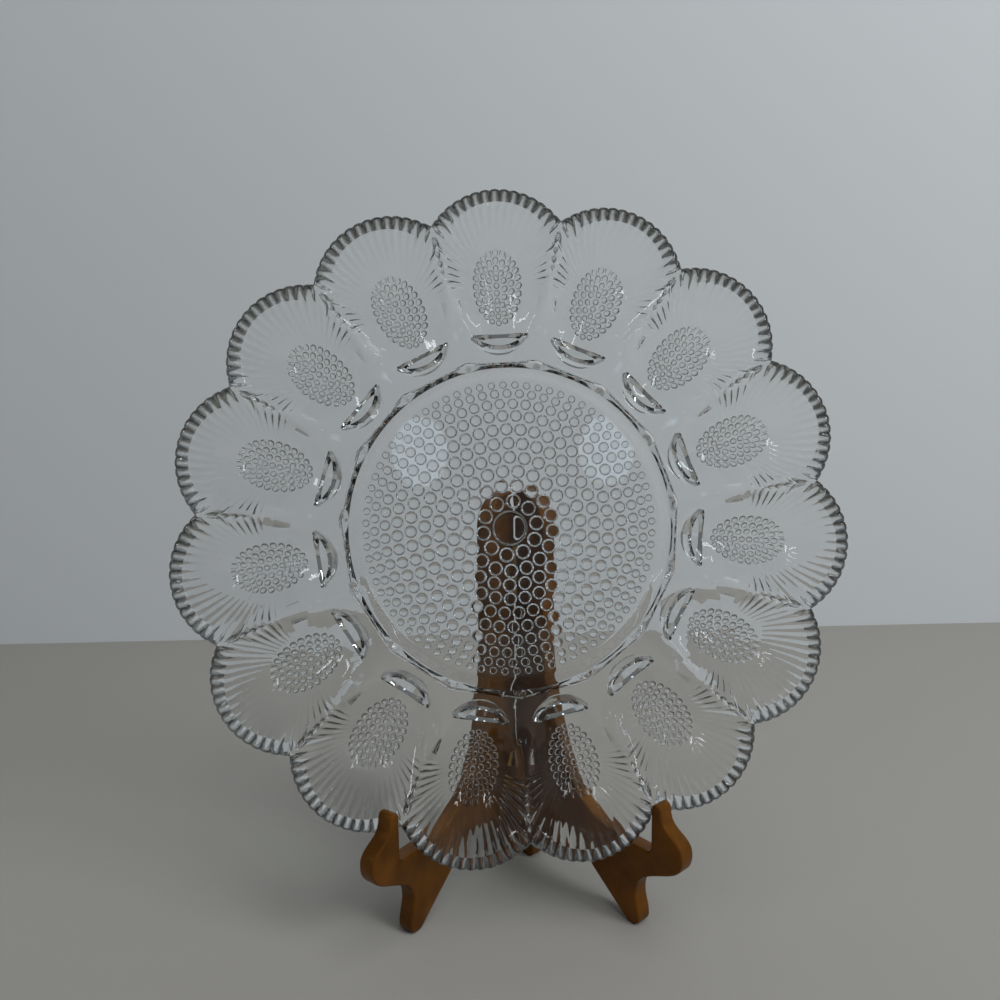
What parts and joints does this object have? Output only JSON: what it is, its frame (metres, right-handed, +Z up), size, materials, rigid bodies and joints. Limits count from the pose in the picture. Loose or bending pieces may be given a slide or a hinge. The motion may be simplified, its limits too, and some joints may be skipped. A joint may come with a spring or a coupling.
{
  "type": "egg platter on a folding plate stand",
  "caption": "Scalloped clear pressed-glass egg platter with oval wells round a dish, standing on a two-board folding plate stand.",
  "frame": {"origin": "middle of the part's box, on the floor the stand rests on", "axes": "+Z up from the floor, +X to the right as the platter faces the viewer, +Y away from the viewer"},
  "size_m": [0.2812, 0.0808, 0.3062],
  "materials": {
    "glass": "clear pressed glass, smooth on top, patterned underneath",
    "bronze_paint": "satin bronze metallic paint over wood",
    "brass": "plain brass"
  },
  "bodies": {
    "left_side": {"left_board": "bronze_paint", "upper_hinge_left_leaf": "brass", "lower_hinge_left_leaf": "brass", "upper_hinge_pin": "brass", "lower_hinge_pin": "brass", "left_hinge_screws": "brass"},
    "right_side": {"right_board": "bronze_paint", "upper_hinge_right_leaf": "brass", "lower_hinge_right_leaf": "brass", "right_hinge_screws": "brass"},
    "platter": {"platter": "glass"}
  },
  "joints": [
    {"name": "board_fold", "type": "hinge", "parent": "left_side", "child": "right_side", "pos_m": [0.00229, 0.03583, 0], "axis": [0, 0, 1], "range_deg": [-76, 0]},
    {"name": "platter_lift", "type": "slide", "parent": "left_side", "child": "platter", "axis": [0, 0, 1], "range_m": [0, 0.16]}
  ],
  "couplings": [
    {"joint": "board_fold", "follows": "platter_lift", "rad_per_m": -8.2902}
  ]
}
